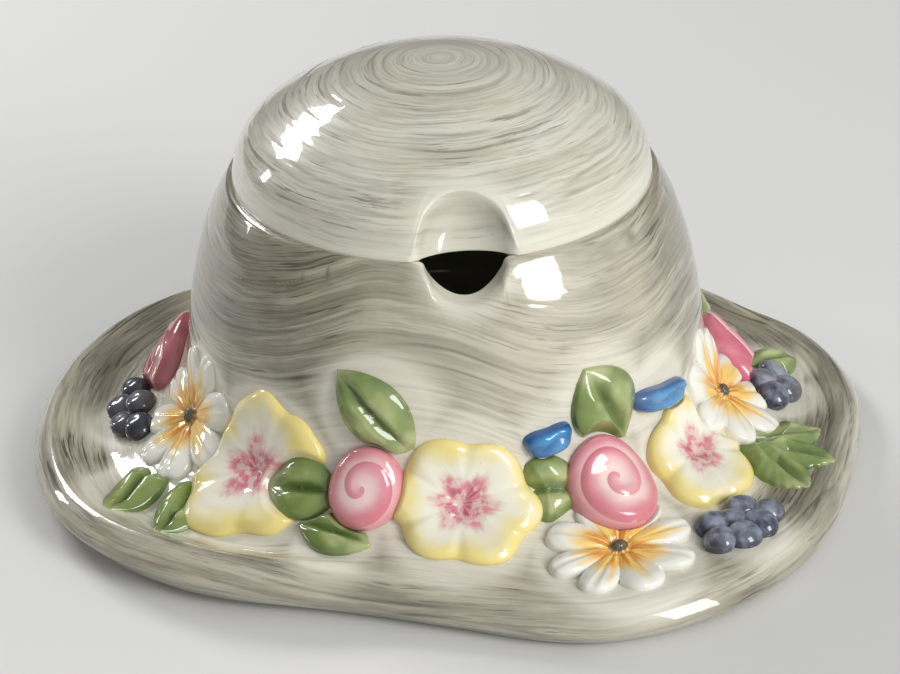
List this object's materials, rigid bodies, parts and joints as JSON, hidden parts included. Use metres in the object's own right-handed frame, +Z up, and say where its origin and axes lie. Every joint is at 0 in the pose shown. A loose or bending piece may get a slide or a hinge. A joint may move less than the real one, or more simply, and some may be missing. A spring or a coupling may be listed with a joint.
{
  "type": "figural sugar bowl",
  "caption": "Glazed ceramic sugar bowl shaped as a straw sun hat with flowers round the brim; the top of the crown lifts off and has a gap for a spoon.",
  "frame": {"origin": "on the table plane, at the axis of the hat's crown", "axes": "+Z up along the crown's axis and the way the lid lifts; the spoon gap faces -Y; X is the long way across the brim"},
  "size_m": [0.1756, 0.1556, 0.0834],
  "materials": {
    "blue_berry_glaze": "glossy painted glaze",
    "cream_bloom_glaze": "glossy painted glaze",
    "white_daisy_glaze": "glossy painted glaze",
    "straw_glaze_bowl": "glossy painted glaze",
    "green_leaf_glaze": "glossy painted glaze",
    "straw_glaze_lid": "glossy painted glaze",
    "blue_ribbon_glaze": "glossy painted glaze",
    "pink_bud_glaze": "glossy painted glaze"
  },
  "bodies": {
    "bowl": {"hat_bowl": "straw_glaze_bowl", "berries_back": "blue_berry_glaze", "berries_left": "blue_berry_glaze", "berries_right": "blue_berry_glaze", "berries_right_back": "blue_berry_glaze", "bloom_back": "cream_bloom_glaze", "bloom_back_left": "cream_bloom_glaze", "bloom_back_right": "cream_bloom_glaze", "bloom_front": "cream_bloom_glaze", "bloom_left": "cream_bloom_glaze", "bloom_right": "cream_bloom_glaze", "daisy_back": "white_daisy_glaze", "daisy_back_left": "white_daisy_glaze", "daisy_front_right": "white_daisy_glaze", "daisy_left": "white_daisy_glaze", "daisy_right": "white_daisy_glaze", "leaf_back": "green_leaf_glaze", "leaf_back_left": "green_leaf_glaze", "leaf_back_right": "green_leaf_glaze", "leaf_crown_back": "green_leaf_glaze", "leaf_crown_back_left": "green_leaf_glaze", "leaf_crown_left": "green_leaf_glaze", "leaf_crown_right": "green_leaf_glaze", "leaf_crown_right_back": "green_leaf_glaze", "leaf_front": "green_leaf_glaze", "leaf_front_left_lower": "green_leaf_glaze", "leaf_front_left_upper": "green_leaf_glaze", "leaf_left_inner": "green_leaf_glaze", "leaf_left_outer": "green_leaf_glaze", "leaf_right_back": "green_leaf_glaze", "leaf_spray_right": "green_leaf_glaze", "ribbon_loop_front": "blue_ribbon_glaze", "ribbon_loop_right": "blue_ribbon_glaze", "rosebud_back_left": "pink_bud_glaze", "rosebud_back_right": "pink_bud_glaze", "rosebud_front_left": "pink_bud_glaze", "rosebud_front_right": "pink_bud_glaze", "rosebud_left": "pink_bud_glaze", "rosebud_right": "pink_bud_glaze"},
    "lid": {"lid": "straw_glaze_lid"}
  },
  "joints": [
    {"name": "lid_lift", "type": "slide", "parent": "bowl", "child": "lid", "axis": [0, 0, 1], "range_m": [0, 0.05]}
  ]
}
